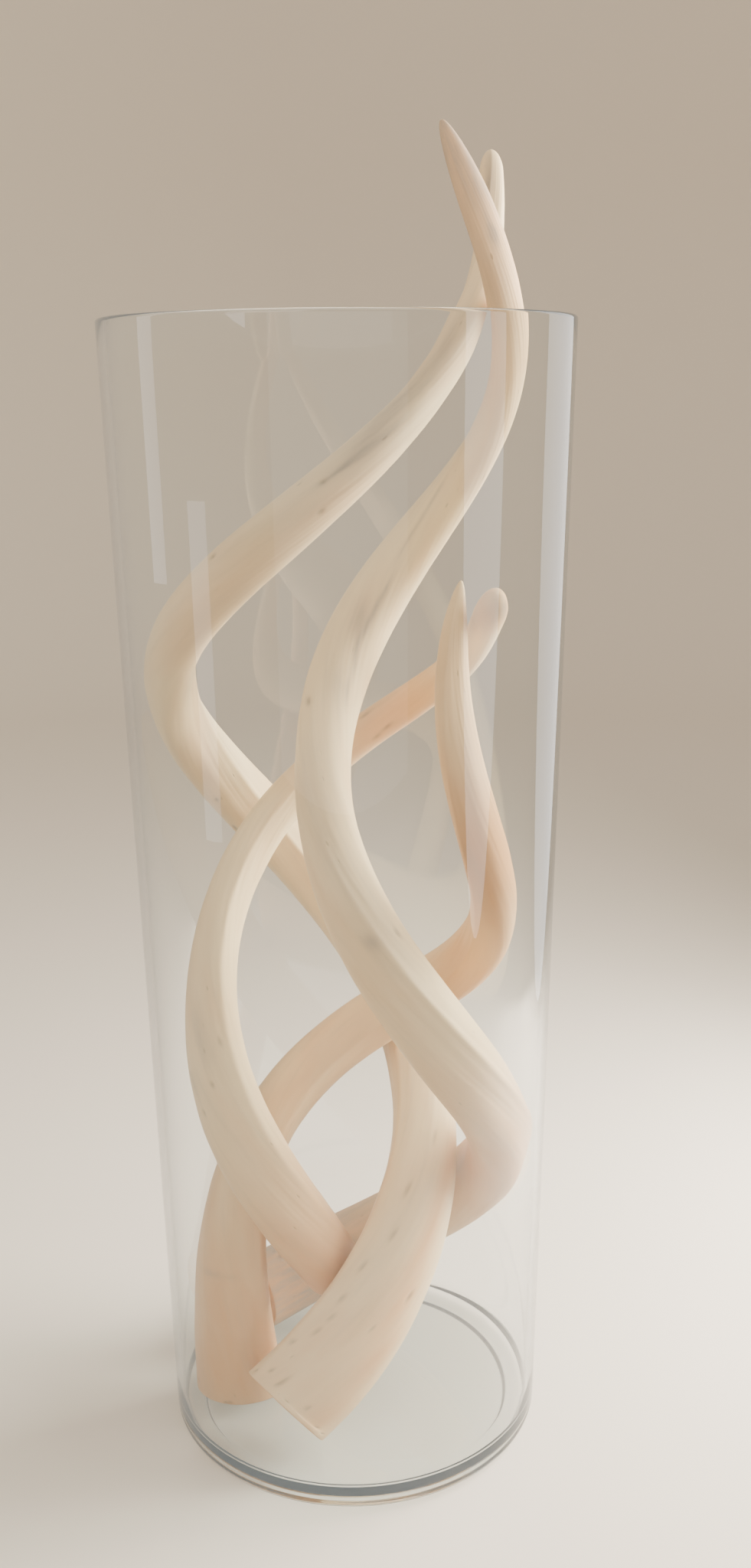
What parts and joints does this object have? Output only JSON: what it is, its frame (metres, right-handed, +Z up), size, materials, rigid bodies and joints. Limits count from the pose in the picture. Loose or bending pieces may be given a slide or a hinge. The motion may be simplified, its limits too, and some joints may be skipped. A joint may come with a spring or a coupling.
{
  "type": "kudu horn cores in a glass cylinder",
  "caption": "Spiral kudu horn cores, sawn at the base, standing and leaning in a tall clear glass cylinder with a thick foot.",
  "frame": {"origin": "middle of the glass foot, on the surface that the cylinder stands on", "axes": "+Z up along the cylinder, the side shown in the picture faces -Y, +X to the viewer's right"},
  "size_m": [0.255, 0.255, 0.7757],
  "materials": {
    "clear_glass": "clear polished glass, faintly blue-grey where it is thick",
    "bone": "dry cleaned bone, cream to tan, faint grain, pits and grey-brown stains"
  },
  "bodies": {
    "root": {"glass_cylinder": "clear_glass", "horn_core_long_left_wound": "bone", "horn_core_long_right_wound": "bone", "horn_core_short_raised": "bone", "horn_core_short_upright": "bone"}
  },
  "joints": []
}
